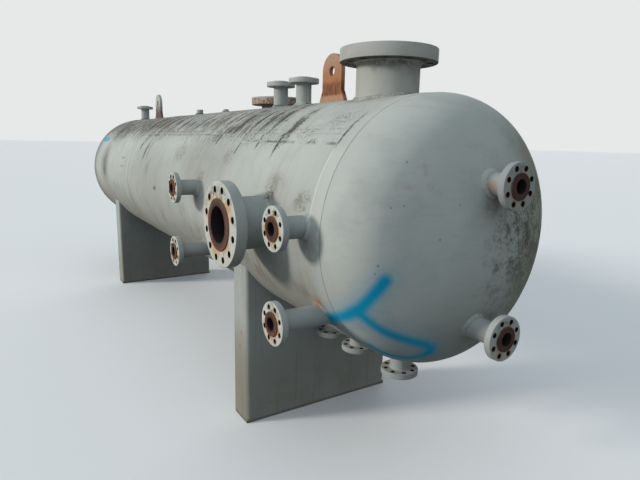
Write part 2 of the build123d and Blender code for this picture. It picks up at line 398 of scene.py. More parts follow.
# %% [markdown]
# ## Long weld neck nozzles
#
# Each nozzle is one forging: a thick barrel through the wall that ends in a drilled flange with
# a raised sealing face. Its section is spun, then the bolt holes are drilled so that they
# straddle the centre lines, as a pipe fitter expects. Every point also remembers where it is in
# the nozzle's own axes, in an attribute called place. The paint reads it later to put rust round
# the bore and the bolt holes, whatever way the nozzle points.

# %% Nozzle pieces
nozzle_steps = 96
bolt_hole_sides = 32


def own_axes(direction):
    """Across, lift and outward axes of a nozzle, lift pointing up wherever it can."""
    lift = Vector((0, 1, 0)) if abs(direction.z) > 0.5 else Vector((0, 0, 1))
    return lift.cross(direction), lift, direction


def nozzle_section(size, depth):
    back = -raised_face - size.thick
    section = [(-depth, size.bore), (-0.001, size.bore)]
    section += arc((-0.001, size.bore + 0.001), 0.001, -pi / 2, 0, 3)[1:]
    section += [(0, size.face - 0.001), (-0.001, size.face), (-raised_face, size.face)]
    section += [(-raised_face, size.radius - flange_edge)]
    section += arc((-raised_face - flange_edge, size.radius - flange_edge), flange_edge, 0, pi / 2, 4)[1:]
    section += arc((back + flange_edge, size.radius - flange_edge), flange_edge, pi / 2, pi, 4)
    section += arc((back - neck_fillet, size.barrel + neck_fillet), neck_fillet, 0, -pi / 2, 6)
    return section + [(-depth, size.barrel)]


def nozzle_piece(node, direction, size):
    face, depth = face_and_depth(node, direction)
    bm = lathe(nozzle_section(size, depth), face, direction, nozzle_steps)
    piece = piece_from(bm, node + "_forging", node)
    across, lift, outward = own_axes(direction)
    bolt_rods = []
    for bolt in range(size.bolts):
        turn = (bolt + 0.5) * 2 * pi / size.bolts
        spot = face + size.bolt_ring * (cos(turn) * across + sin(turn) * lift)
        bolt_rods.append((spot, -outward, size.hole, raised_face + size.thick + 0.01))
    drill(piece, bolt_rods, bolt_hole_sides)
    remember = piece.data.attributes.new("place", "FLOAT_VECTOR", "POINT")
    for vert, kept in zip(piece.data.vertices, remember.data):
        arm = vert.co - face
        kept.vector = (arm.dot(across), arm.dot(lift), arm.dot(outward))
    return piece


nozzle_pieces = {node: nozzle_piece(node, *what) for node, what in nozzles.items()}
print("nozzle faces:", {node: len(piece.data.polygons) for node, piece in nozzle_pieces.items()})

# %% [markdown]
# ## Fillet welds
#
# Where a barrel enters the round tank, the fillet weld follows a saddle-shaped line. The bead is
# spun as a flat ring first, which is easy, and then each point drops along the nozzle's axis on
# to the tank below it. That gives the true curve with one height function for the shell and one
# for the head.

# %% Fillet weld pieces
fillet_steps = 160
fillet_ripple = 0.0009


def shell_height(across):
    """How high the shell's surface stands over the axis, at a distance across."""
    return sqrt(shell_radius ** 2 - across ** 2)


def head_height(out):
    """How far the head's surface stands beyond its tangent line, at a distance from the axis."""
    crown = crown_radius + wall
    if out < crown * sin(lean):
        return crown_centre + sqrt(crown ** 2 - out ** 2)
    return sqrt((knuckle_radius + wall) ** 2 - (out - knuckle_centre) ** 2)


def surface_height(spot, direction):
    """Where a line through spot, along a nozzle's direction, meets the outside of the tank."""
    if direction.x:
        return near_tangent + head_height(Vector((spot.y, spot.z - axis_height)).length)
    if direction.y:
        return shell_height(spot.z - axis_height)
    return axis_height * direction.z + shell_height(spot.y)


def fillet_ring(bm, foot, direction, radius):
    """Adds the rippled fillet weld round one barrel to a bmesh."""
    section = [(-2 * weld_root, radius - weld_root), (weld_leg, radius - weld_root)]
    for step in range(7):
        turn = pi / 2 * (1 - step / 6)
        swell = 1 - 0.12 * sin(2 * turn)
        section.append((weld_leg * sin(turn) * swell, radius + weld_leg * cos(turn) * swell))
    section.append((-2 * weld_root, radius + weld_leg))
    ring = lathe(section, foot, direction, fillet_steps)
    for vert in ring.verts:
        arm = vert.co - foot
        along = arm.dot(direction)
        flat = arm - along * direction
        across, lift, outward = own_axes(direction)
        turn = atan2(flat.dot(lift), flat.dot(across))
        lifted = along + (ripple(turn, radius, fillet_ripple) if along > 0.003 else 0)
        spot = foot + flat
        ground = surface_height(spot, direction) - foot.dot(direction)
        vert.co = spot + direction * (ground + lifted)
    loose = bpy.data.meshes.new("ring")
    ring.to_mesh(loose)
    ring.free()
    bm.from_mesh(loose)
    bpy.data.meshes.remove(loose)


weld_groups = {"side": side, "top": top, "drain": bottom, "head": front}
fillets = {}
for group, direction in weld_groups.items():
    bm = bmesh.new()
    for node, (way, size) in nozzles.items():
        if way == direction:
            face, depth = face_and_depth(node, direction)
            fillet_ring(bm, face, direction, size.barrel)
    if direction == top:
        for node, coupling in couplings.items():
            face, depth = face_and_depth(node, top)
            fillet_ring(bm, face, top, coupling.radius)
    fillets[group] = piece_from(bm, group + "_nozzle_fillets", group + "_nozzle_welds")
print("fillet faces:", {name: len(piece.data.polygons) for name, piece in fillets.items()})

# %% [markdown]
# ## Plates: saddles, lugs and couplings
#
# These pieces have the right shape already, but their edges are knife sharp. Real plate has a
# broken edge that catches the light. A copy of each node is merged into flat faces and gets a
# narrow Bevel, limited by angle so that only true corners are touched.

# %% Break the plates' edges
def broken_edges(node, name, width):
    """A copy of a measured plate with its faces merged and its corners slightly rounded."""
    bm = bmesh.new()
    bm.from_mesh(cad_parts[node].data)
    bmesh.ops.remove_doubles(bm, verts=bm.verts, dist=1e-5)
    bmesh.ops.dissolve_limit(bm, angle_limit=radians(0.5), verts=bm.verts, edges=bm.edges)
    piece = piece_from(bm, name, node)
    rounded = piece.modifiers.new("broken edge", "BEVEL")
    rounded.width = width
    rounded.segments = 2
    rounded.limit_method = "ANGLE"
    rounded.angle_limit = radians(50)
    rounded.harden_normals = True
    return piece


saddle_pieces = []
for end in ("near", "far"):
    for plate in ("front", "back", "base"):
        name = f"{end}_saddle_{plate}"
        saddle_pieces.append(broken_edges(name + "_plate", name + "_sheet", 0.0012))
near_lug = broken_edges("near_lifting_lug", "near_lug_eye_plate", 0.0012)
far_lug = broken_edges("far_lifting_lug", "far_lug_eye_plate", 0.0012)
coupling_pieces = [broken_edges(node, node + "_boss", 0.0015) for node in couplings]
print("plates:", len(saddle_pieces), "faces of a front plate:", len(saddle_pieces[0].data.polygons))

# %% [markdown]
# ## A small language for paint
#
# A procedural material is arithmetic on places. Built node by node it takes pages, so a small
# class wraps a socket and lets Python's own signs add the Math nodes. A mask can then be written
# as one line of sums, which reads like the thing it describes.

# %% Shader arithmetic
class Signal:
    """An output socket that can be added, scaled and compared like a number."""

    def __init__(self, paint, socket):
        self.paint = paint
        self.socket = socket

    def maths(self, operation, *others):
        return self.paint.node("ShaderNodeMath", {"operation": operation}, dict(enumerate((self, *others))))

    def vectors(self, operation, *others, out=0):
        values = dict(enumerate((self, *others)))
        return self.paint.node("ShaderNodeVectorMath", {"operation": operation}, values, out)

    # Each of these signs adds one Math node.
    __add__ = __radd__ = partialmethod(maths, "ADD")
    __mul__ = __rmul__ = partialmethod(maths, "MULTIPLY")
    __sub__ = partialmethod(maths, "SUBTRACT")
    __abs__ = partialmethod(maths, "ABSOLUTE")
    __or__ = partialmethod(maths, "MAXIMUM")
    lesser = partialmethod(maths, "MINIMUM")

    def __rsub__(self, other):
        return (self * -1).maths("ADD", other)

    def step(self, low, high, full=1):
        """0 below low, full above high, and a smooth rise between. Low may be above high."""
        values = {"Value": self, "From Min": low, "From Max": high, "To Max": full}
        return self.paint.node("ShaderNodeMapRange", {"interpolation_type": "SMOOTHSTEP"}, values)

    def patches(self, scale, detail, rough=0.55):
        """Soft noise about 0.5 over a place."""
        values = {"Vector": self, "Scale": scale, "Detail": detail, "Roughness": rough}
        return self.paint.node("ShaderNodeTexNoise", {}, values, out="Fac")

    def stretch(self, x, y, z=1):
        return self.vectors("MULTIPLY", (x, y, z))

    def distance(self, point):
        return self.vectors("DISTANCE", point, out=1)

    def sway(self, amount):
        """Noise moved to lie about 0, and scaled to an amount."""
        return (self - 0.5) * amount

    def split(self):
        made = self.paint.node("ShaderNodeSeparateXYZ", {}, {0: self}).socket.node
        return [Signal(self.paint, socket) for socket in made.outputs]


print("signal tools ready")

# %% [markdown]
# ## Layers of paint
#
# A second class makes the nodes. All of them come from one method that sets a node up, fills
# its sockets and hands back an output. The class keeps the colour so far and lays marks over
# it. It serves materials and the world, because both are node trees.

# %% Paint layers
class Paint:
    """Adds shader nodes to the tree of a material or world, and keeps the colour so far."""

    def __init__(self, owner, base=None):
        owner.use_nodes = True
        self.owner = owner
        self.tree = owner.node_tree
        self.base = base

    def fill(self, socket, value):
        if isinstance(value, Signal):
            self.tree.links.new(value.socket, socket)
        else:
            socket.default_value = value

    def node(self, kind, settings, values, out=0):
        """Adds a node, sets it up, fills its sockets by name or number, and returns an output."""
        made = self.tree.nodes.new(kind)
        for key, value in settings.items():
            setattr(made, key, value)
        for key, value in values.items():
            self.fill(made.inputs[key], value)
        return Signal(self, made.outputs[out])

    def join(self, x, y, z):
        return self.node("ShaderNodeCombineXYZ", {}, {0: x, 1: y, 2: z})

    def blend(self, share, under, over):
        return self.node("ShaderNodeMix", {"data_type": "RGBA"}, {0: share, 6: under, 7: over}, out=2)

    def lay(self, share, over):
        """Lays one more colour over those so far, by a share."""
        self.base = self.blend(share, self.base, over)

    def finish(self, rough, height, depth):
        """Ends a material: a chalky surface with little shine and a shallow relief."""
        relief = self.node("ShaderNodeBump", {}, {"Height": height, "Distance": depth, "Strength": 1})
        shader = self.tree.nodes["Principled BSDF"]
        shader.inputs["Specular IOR Level"].default_value = 0.22
        for name, value in (("Base Color", self.base), ("Roughness", rough), ("Normal", relief)):
            self.fill(shader.inputs[name], value)
        return self.owner


def new_paint(name, base):
    """A paint for a new material, with the place of each point and its x, y and z."""
    paint = Paint(bpy.data.materials.new(name), base)
    place = paint.node("ShaderNodeTexCoord", {}, {}, out="Object")
    return paint, place, place.split()


def colour(red, green, blue):
    return (red, green, blue, 1)


def coat(pieces, material):
    """Gives pieces one material and nothing else."""
    for piece in pieces:
        piece.data.materials.clear()
        piece.data.materials.append(material)


print("paint tools ready")

# %% [markdown]
# ## The tank's skin
#
# Dirt follows the rain: it gathers on the crown and runs down round the shell. So the paint
# needs to know two things at every point, the station along the tank from its near tangent
# line and the angle down from the top. They come from the object's own coordinates. A flat
# map of the two, in metres both ways, lets noise be squeezed along the tank and stretched
# round it, which gives runs of the right shape. Marks are ovals on that map, in metres one way
# and degrees the other.

# %% Skin coordinates
metres_per_degree = shell_radius * pi / 180


def tank_skin(paint, place, x, y, z):
    """Where each point lies on the tank, with the few noises that its marks share."""
    station = near_tangent - x
    angle = (y * -1).maths("ARCTAN2", z - axis_height) * (180 / pi)
    flat_map = paint.join(station, angle * metres_per_degree, 0)
    long_dashes = flat_map.stretch(180, 14).patches(1, 3, 0.6)
    speckle = place.patches(85, 3, 0.7)
    return SimpleNamespace(
        place=place,
        across=y,
        height=z,
        station=station,
        angle=angle,
        steep=abs(angle),
        map=flat_map,
        spots=paint.join(station, angle, 0),
        on_shell=station.step(0.03, 0.12),
        cloud=place.patches(6, 5, 0.6),
        mottle=place.patches(19, 5, 0.68),
        speckle=speckle,
        dashes=long_dashes * 0.6 + speckle * 0.4,
        clumps=flat_map.stretch(14, 11).patches(1, 4, 0.7),
        grain=place.patches(260, 2, 0.6),
    )


def ovals(where, marks, soft):
    """The strongest of several soft ovals, each (station, angle, half length, half width, share)."""
    found = []
    for station, angle, length, width, share in marks:
        shift = (-station / length, -angle / width, 0)
        gap = where.vectors("MULTIPLY_ADD", (1 / length, 1 / width, 0), shift).vectors("LENGTH", out=1)
        found.append(gap.step(1, soft, share))
    return reduce(or_, found)


def distance_to(paint, place, points):
    """How far each place is from a line through points in space."""
    gaps = []
    for first, last in zip(points, points[1:]):
        run = last - first
        arm = place.vectors("SUBTRACT", first)
        share = arm.vectors("DOT_PRODUCT", run / run.length_squared, out=1)
        held = paint.node("ShaderNodeClamp", {}, {"Value": share})
        foot = paint.node("ShaderNodeVectorMath", {"operation": "SCALE"}, {0: run, "Scale": held})
        gaps.append(arm.distance(foot))
    return reduce(Signal.lesser, gaps)


def on_head(across, height):
    """The point of the near head's surface that lies at a place across and a height."""
    out = sqrt(across ** 2 + (height - axis_height) ** 2)
    return Vector((near_tangent + head_height(out), across, height))


def on_shell_at(station, angle):
    turn = radians(angle)
    arm = Vector((0, -sin(turn), cos(turn))) * shell_radius
    return axis_point + Vector((near_tangent - station, 0, 0)) + arm


print("near head's pole at", round(on_head(0, axis_height).x, 4))

# %% [markdown]
# ## Rain runs on the crown
#
# Mildew on old enamel is neither a line nor a smear. It is thousands of short dark dashes that
# stand close together where the water runs and thin out beside it. So each run is written down
# as a density first: an oval on the map, thin along the tank and long round it, with a share
# for how wet it was. Then one layer of dashes appears wherever the noise, helped by that density,
# passes a limit. Under the dashes lies a soft brown veil of dust, set down as a few ovals.

# %% Crown dirt
pale_chalk = colour(0.52, 0.54, 0.5)
mildew = colour(0.046, 0.044, 0.038)
crown_dust = colour(0.2, 0.186, 0.158)
water_runs = [
    (0.095, 44, 0.018, 16, 0.75), (0.52, 37.5, 0.072, 21.5, 0.75), (0.545, 51, 0.018, 13, 1),
    (0.665, 32.5, 0.022, 14.5, 0.45), (0.722, 30, 0.047, 26, 1), (0.742, 50, 0.022, 8, 0.8),
    (0.828, 28.5, 0.036, 24.5, 0.9), (0.868, 25.5, 0.025, 19.5, 0.6), (0.94, 32, 0.036, 24, 0.95),
    (0.936, 54.5, 0.014, 10.5, 0.75), (1, 36, 0.025, 17, 0.45), (1.065, 33.5, 0.022, 17.5, 0.55),
    (1.118, 30, 0.058, 28, 1), (1.254, 46.5, 0.018, 16.5, 0.6), (1.35, 28.5, 0.036, 20.5, 0.45),
    (1.421, 55, 0.014, 19, 0.5), (1.655, 36.5, 0.036, 12.5, 0.6), (1.725, 34.5, 0.032, 14.5, 0.9),
    (1.815, 33.5, 0.036, 13.5, 0.75), (1.79, 54.5, 0.022, 14.5, 0.35), (2.02, 36.5, 0.054, 12.5, 0.45),
    (2.165, 35.5, 0.04, 13.5, 0.85), (2.38, 36.5, 0.054, 12.5, 0.5), (2.51, 60, 0.018, 22, 0.5),
    (2.565, 27, 0.081, 23, 1), (2.6, 61, 0.029, 23, 0.85), (2.7, 27, 0.081, 23, 1.05),
    (2.735, 50.5, 0.025, 10.5, 0.7), (2.79, 55, 0.032, 15, 0.9), (2.85, 28.5, 0.072, 20.5, 0.85),
    (2.96, 30.5, 0.081, 22.5, 1), (3.09, 30.5, 0.054, 20.5, 0.8), (3.4, 31.5, 0.072, 17.5, 0.6),
    (3.64, 44.5, 0.09, 14.5, 0.5), (3.76, 40, 0.108, 21, 0.7), (3.9, 34.5, 0.108, 24.5, 0.75),
    (4.02, 34.5, 0.126, 26.5, 0.85), (4.18, 28.5, 0.108, 22.5, 0.6),
]
dust_veils = [
    (0.14, 12, 0.18, 15, 0.35), (0.45, 37, 0.1, 15, 0.3), (0.56, 42, 0.09, 17, 0.4),
    (0.8, 16, 0.22, 20, 0.7), (0.85, 36, 0.15, 18, 0.45), (1.23, 14, 0.26, 17, 0.65),
    (1.15, 36, 0.13, 20, 0.55), (1.33, 66, 0.6, 32, 0.62), (1.3, 46, 0.42, 8, 0.35),
    (2.1, 41, 0.65, 10, 0.42), (2.3, 80, 1.2, 34, 0.42), (0.3, 88, 0.4, 30, 0.3),
    (2.72, 26, 0.42, 28, 0.95), (3.15, 12, 0.5, 14, 0.8), (3.72, 47, 0.28, 14, 0.55),
    (4, 34, 0.46, 30, 1), (4.05, 80, 0.26, 34, 0.95), (4.35, 12, 0.4, 22, 0.9),
]


def crown_dirt(paint, skin):
    """Dust on the upper part of the shell, and dashes of mildew where the water runs."""
    wander = skin.station + skin.map.patches(8, 4, 0.6).sway(0.022) + skin.speckle.sway(0.016)
    columns = skin.map.stretch(24, 1.3).patches(1, 4, 0.65)
    dirtier = 0.15 + 0.75 * skin.station.step(0.42, 0.9) + 0.35 * skin.station.step(1.9, 2.6)
    ragged = skin.steep + skin.cloud.sway(20) + columns.sway(24)
    on_crown = (skin.steep + skin.mottle.sway(26)).step(62, 44) * skin.on_shell

    crust = skin.mottle + skin.speckle.sway(0.9)
    paint.lay(crust.step(0.5, 0.3) * on_crown * 0.5, pale_chalk)
    paint.lay(crust.step(0.52, 0.8) * on_crown * (0.16 + 0.34 * dirtier), crown_dust)

    veil = ovals(skin.spots, dust_veils, 0.2) * (0.5 + 1.1 * (skin.mottle - 0.25) * columns)
    thin_veil = ragged.step(58, 34) * dirtier * (0.18 + 0.55 * columns.step(0.36, 0.64))
    veil = veil | thin_veil

    threads = skin.map.stretch(85, 2.2).patches(1, 4, 0.6)
    reach = skin.steep + skin.cloud.sway(16) + skin.mottle.sway(14)
    fine_runs = threads.step(0.5, 0.62) * reach.step(58, 46) * dirtier
    runs = ovals(paint.join(wander, skin.steep, 0), water_runs, 0.1)
    wet = (thin_veil * 0.8 | fine_runs | runs) * (0.5 + 1.1 * skin.clumps.step(0.34, 0.64))
    veil = veil | wet * 0.62
    paint.lay(veil * skin.on_shell, crown_dust)

    dashes = (skin.dashes.sway(1.6) + 0.5 + 0.4 * wet).step(0.63, 0.8) * wet.step(0.05, 0.3)
    paint.lay(dashes * skin.on_shell * 0.85, mildew)


print("water runs:", len(water_runs), "veils:", len(dust_veils))

# %% [markdown]
# ## Dirt along the welds
#
# Grime lodges under the long seam, in thin lines that start and stop. On the sunlit side the closing band is
# a little paler, and a painted highlight runs along its back edge and along the edge of the course weld. A
# dark crack runs along the band's front edge.

# %% Seam dirt
painted_highlight = colour(0.7, 0.71, 0.68)
band_front_edge = 0.0225
band_back_edge = 0.0975
course_back_edge = 3.04
seam_lines = [
    (0.1, 1.12, 51.2, 50.6, 0.75, 0.9), (0.1, 1.1, 43.2, 43.4, 0.3, 0.55),
    (0.1, 1.1, 46.4, 46, 0.3, 0.45), (1.05, 1.62, 48.9, 46.4, 0.5, 0.8),
    (1.45, 3.05, 46.9, 47.8, 0.75, 0.8), (1.55, 3.05, 43.9, 43.6, 0.8, 0.55),
]


def seam_dirt(paint, skin):
    patchy = skin.map.stretch(11, 5).patches(1, 4, 0.7)
    uneven = skin.angle + skin.speckle.sway(1.2)
    grime = []
    for first, last, angle, last_angle, half_width, share in seam_lines:
        slope = (last_angle - angle) / (last - first)
        across = abs(uneven - skin.station * slope - (angle - first * slope))
        beyond = abs(skin.station - (first + last) / 2) - (last - first) / 2
        grime.append(across.step(half_width * 1.5, half_width * 0.3) * beyond.step(0.01, -0.02, share))
    paint.lay(reduce(or_, grime) * (patchy + skin.speckle.sway(0.4)).step(0.4, 0.62) * 0.75, mildew)
    # On the sunlit side the band is a little paler, and its back edge and the course weld's edge get a
    # painted highlight.
    sunny = skin.angle.step(50, 57) * skin.angle.step(96, 84)
    edge = abs(skin.station - band_back_edge).step(0.0042, 0.0015) * sunny
    course_weld_glint = abs(skin.station - course_back_edge).step(0.014, 0.005) * sunny * skin.angle.step(62, 66)
    band = abs(skin.station - (band_front_edge + band_back_edge) / 2).step(0.04, 0.034) * sunny
    paint.lay(band * 0.5, pale_chalk)
    paint.lay((edge | course_weld_glint * 0.6) * 0.75, painted_highlight)
    crack = abs(skin.station - band_front_edge).step(0.0036, 0.0012) * skin.steep.step(18, 50)
    paint.lay(crack * (0.14 + 0.26 * skin.mottle), mildew)


print("lines along the seam:", len(seam_lines))

# %% [markdown]
# ## Stains
#
# Dirt has gathered above the roots of the side nozzles, rust has run from them, and the belly is
# dusty brown. Speckled patches are ovals again, but only the darkest grains of a fine noise show.

# %% Stains
rust_orange = colour(0.33, 0.15, 0.055)
root_brown = colour(0.17, 0.132, 0.09)
old_grime = colour(0.085, 0.08, 0.066)
belly_dust = colour(0.225, 0.208, 0.16)
dull_green = colour(0.13, 0.15, 0.105)
faded_blue = colour(0.09, 0.4, 0.5)
largest_foot = face_and_depth("top_large_nozzle", top)[0]
largest_foot.z = axis_height + shell_radius
brown_marks = [
    (0.175, 77, 0.09, 6, 0.55), (0.43, 77, 0.06, 4.5, 0.85), (0.41, 72, 0.11, 8, 0.5),
    (0.22, 116, 0.09, 7, 0.55), (0.73, 110, 0.06, 10, 0.55), (0.62, 119, 0.11, 6, 0.55),
    (0.99, 62, 0.09, 9, 0.35), (1.265, 75, 0.075, 6, 0.45), (1.48, 112, 0.2, 12, 0.35),
    (2.08, 112, 0.06, 9, 0.4),
]
grime_marks = [
    (0.535, 47, 0.05, 7, 0.55), (0.52, 34, 0.06, 14, 0.3), (0.725, 30, 0.045, 12, 0.4),
    (0.84, 28, 0.055, 14, 0.35), (0.945, 40, 0.04, 12, 0.4), (1.11, 34, 0.05, 12, 0.5),
    (1.2, 42, 0.11, 6, 0.95), (1.29, 48, 0.09, 6, 0.55), (2.6, 38, 0.1, 12, 0.55),
    (2.74, 36, 0.11, 13, 0.6), (2.96, 38, 0.09, 12, 0.55), (3.7, 42, 0.3, 10, 0.55),
    (4, 46, 0.2, 10, 0.6), (4.04, 86, 0.11, 13, 0.6),
]
rust_marks = [
    (0.125, 119, 0.07, 5, 0.8), (0.59, 114, 0.03, 10, 0.4), (0.7, 118, 0.03, 8, 0.35),
    (1.26, 73, 0.03, 2, 0.5),
]
green_marks = [
    (1.76, 62, 0.14, 10, 0.4), (2.43, 77, 0.085, 12, 0.45), (2.6, 62, 0.06, 16, 0.35),
    (3.25, 72, 0.12, 1.3, 0.75), (3.25, 80, 0.12, 1.3, 0.65), (4.04, 88, 0.085, 9, 0.95),
    (4.06, 78, 0.13, 12, 0.55),
]
black_marks = [(2.165, 90.5, 0.055, 2.6, 1), (0.44, 78.5, 0.022, 1, 0.9), (0.41, 76, 0.012, 0.8, 0.7)]
blue_marks = [(4.4, 54, 0.19, 4.2, 1)]
speckled = [
    (0.215, 37, 0.14, 9, 0.75), (0.37, 45, 0.12, 8, 0.8), (0.28, 50, 0.06, 3, 0.9),
    (0.165, 76, 0.09, 8, 0.65), (0.43, 75, 0.08, 6, 0.7), (0.53, 50, 0.08, 10, 0.9),
    (0.65, 50, 0.12, 9, 0.65), (0.88, 50, 0.15, 10, 0.7), (1.2, 43, 0.14, 9, 0.95),
    (1, 60, 0.14, 10, 0.5), (1.3, 50, 0.14, 8, 0.75), (1.74, 64, 0.18, 13, 0.45),
    (3.9, 52, 0.4, 10, 0.8),
]


def stained(paint, skin):
    belly = (skin.steep + skin.cloud.sway(30)).step(84, 128) * skin.on_shell
    paint.lay(belly * 0.55, belly_dust)
    drips = skin.map.stretch(26, 4).patches(1, 4, 0.65)
    paint.lay(belly * drips.step(0.52, 0.66) * 0.3, root_brown)
    broken = 0.25 + 0.75 * (skin.mottle + skin.speckle.sway(0.6)).step(0.4, 0.6)
    for marks, over in (
        (brown_marks, root_brown),
        (grime_marks, old_grime),
        (rust_marks, rust_orange),
        (green_marks, dull_green),
        (black_marks, mildew),
    ):
        paint.lay(ovals(skin.spots, marks, 0.2) * broken, over)
    paint.lay(ovals(skin.spots, blue_marks, 0.6), faded_blue)
    foot = skin.place.distance(largest_foot) + skin.mottle.sway(0.05)
    ring = foot.step(0.215, 0.165) * skin.height.step(1.6, 1.625)
    paint.lay(ring * broken * 0.55, root_brown)
    at_far_end = (skin.station + skin.cloud.sway(0.2)).step(4.42, 4.6)
    paint.lay(at_far_end * (0.35 + 0.5 * skin.mottle), old_grime)
    strewn = ovals(skin.spots, speckled, 0.2)
    grains = (skin.grain * 0.4 + skin.speckle * 0.6 + 0.1 * strewn).step(0.56, 0.66)
    paint.lay(grains * strewn * 0.8, mildew)


print("marks:", len(brown_marks + rust_marks + green_marks + black_marks + speckled))

# %% [markdown]
# ## Strokes on the near head
#
# The near head was marked by hand, with a forked line of blue spray and a faint cross in orange
# chalk. A stroke is a chain of points on the surface, and a mask falls off with the distance
# from it. Spray has a dense core and a wide, faint mist.

# %% Strokes
spray_blue = colour(0, 0.3, 0.5)
strokes = {
    "down": [(-0.403, 1.01), (-0.427, 0.965), (-0.448, 0.905), (-0.458, 0.872)],
    "cross": [
        (-0.444, 0.882), (-0.404, 0.843), (-0.357, 0.81), (-0.31, 0.787),
        (-0.264, 0.769), (-0.198, 0.745), (-0.162, 0.722), (-0.16, 0.702),
    ],
    "back": [
        (-0.16, 0.702), (-0.183, 0.68), (-0.23, 0.673), (-0.278, 0.685), (-0.318, 0.704), (-0.352, 0.728),
    ],
    "chalk": [(-0.272, 1.392), (-0.266, 1.318)],
    "chalk_bar": [(-0.345, 1.32), (-0.255, 1.318)],
}
strokes = {name: [on_head(*point) for point in points] for name, points in strokes.items()}
strokes["down"] += [on_shell_at(0.052, 124.5), on_shell_at(0.11, 127.5), on_shell_at(0.175, 129)]


def sprayed(paint, skin):
    for name, half_width, share in (("down", 0.025, 1), ("cross", 0.02, 0.98), ("back", 0.015, 0.96)):
        gap = distance_to(paint, skin.place, strokes[name])
        core = gap.step(half_width + 0.024, half_width - 0.02, share)
        mist = gap.step(half_width + 0.075, half_width - 0.015, 0.5) * (0.3 + 0.5 * skin.speckle)
        paint.lay(core | mist, spray_blue)


print("points in the strokes:", {name: len(points) for name, points in strokes.items()})

# %% [markdown]
# ## Growth on the near head
#
# The head is washed clean where it faces the light, and its lower part is painted greyer as painted shade.
# Its far side stays damp: algae grow there in blotches, under a green layer that is partly algae and partly
# painted shade. The chalk and a few dark specks lie over them.

# %% Head marks
algae_dark = colour(0.068, 0.07, 0.042)
algae_and_shade_green = colour(0.205, 0.218, 0.145)
head_shade_grey = colour(0.22, 0.235, 0.215)
orange_chalk = colour(0.42, 0.26, 0.16)
specks = [(-0.328, 1.401, 0.005), (-0.429, 1.064, 0.006), (-0.435, 1.036, 0.004), (0.124, 1.109, 0.005)]
specks += [(-0.353, 1.261, 0.004), (-0.393, 1.255, 0.004), (-0.155, 1.262, 0.004), (-0.232, 1.148, 0.005)]


def head_marks(paint, skin):
    y, z = skin.across, skin.height
    on_front = skin.station.step(0.02, -0.02)
    brushed = skin.place.stretch(9, 9, 50).patches(1, 5, 0.7)
    paint.lay(brushed.step(0.5, 0.74) * on_front * 0.15, crown_dust)
    paint.lay(brushed.step(0.5, 0.28) * on_front * 0.18, pale_chalk)
    # Painted shade: the lower part of the head is greyed.
    under = (z + skin.cloud.sway(0.3)).step(1.02, 0.72) * y.step(-0.36, -0.1)
    paint.lay(under * on_front * 0.6, head_shade_grey)
    low = (z + skin.cloud.sway(0.2)).step(1.42, 1.26)
    damp = (y + skin.mottle.sway(0.36)).step(-0.06, 0.16) * low
    blotches = skin.mottle + skin.speckle.sway(0.9) + skin.cloud.sway(0.6) + skin.grain.sway(0.25)
    # A green layer on the far side of the head, partly algae and partly painted shade.
    algae_and_shade_film = (y + skin.cloud.sway(0.25)).step(0.04, 0.4) * on_front
    paint.lay(algae_and_shade_film * 0.85, algae_and_shade_green)
    thick = 0.45 + 0.45 * z.step(0.85, 1.1)
    paint.lay(damp * blotches.step(0.34, 0.66) * on_front * thick, algae_dark)
    worn = (skin.mottle + skin.speckle.sway(0.6)).step(0.4, 0.62)
    chalk_gap = distance_to(paint, skin.place, strokes["chalk"])
    chalk = chalk_gap.lesser(distance_to(paint, skin.place, strokes["chalk_bar"])).step(0.014, 0.001)
    paint.lay(chalk * worn * 0.35, orange_chalk)
    dots = []
    for across, height, radius in specks:
        dots.append(skin.place.distance(on_head(across, height)).step(radius * 1.2, radius * 0.3))
    paint.lay(reduce(or_, dots) * 0.55, mildew)


print("specks:", len(specks))

# %% [markdown]
# ## The tank's enamel
#
# Now the layers go on in the order in which they came: pale grey enamel that has gone chalky,
# dust and runs, grime, stains, growth, and the spray on top. The relief is shallow: a little
# orange peel, and grit where the dirt lies.

# %% Tank paint
clean_grey = colour(0.44, 0.462, 0.432)
dull_grey = colour(0.35, 0.368, 0.345)


def tank_paint():
    paint, place, xyz = new_paint("tank_enamel", clean_grey)
    skin = tank_skin(paint, place, *xyz)
    paint.lay(place.patches(1.7, 3).step(0.38, 0.68) * 0.6, pale_chalk)
    paint.lay(skin.cloud.step(0.45, 0.75) * 0.45, dull_grey)
    faint = skin.map.stretch(30, 2.2).patches(1, 4, 0.6)
    paint.lay(faint.step(0.5, 0.72) * skin.on_shell * 0.14, crown_dust)
    crown_dirt(paint, skin)
    seam_dirt(paint, skin)
    stained(paint, skin)
    head_marks(paint, skin)
    sprayed(paint, skin)
    relief = skin.grain * 0.25 + skin.speckle * 0.35 + skin.cloud * 2
    return paint.finish(0.62 + 0.22 * skin.cloud, relief, 0.0006)


tank_enamel = tank_paint()
coat([near_course, far_course, near_head, far_head, middle_bead, long_bead], tank_enamel)
coat([*bands, *fillets.values()], tank_enamel)
print("nodes in the tank's paint:", len(tank_enamel.node_tree.nodes))
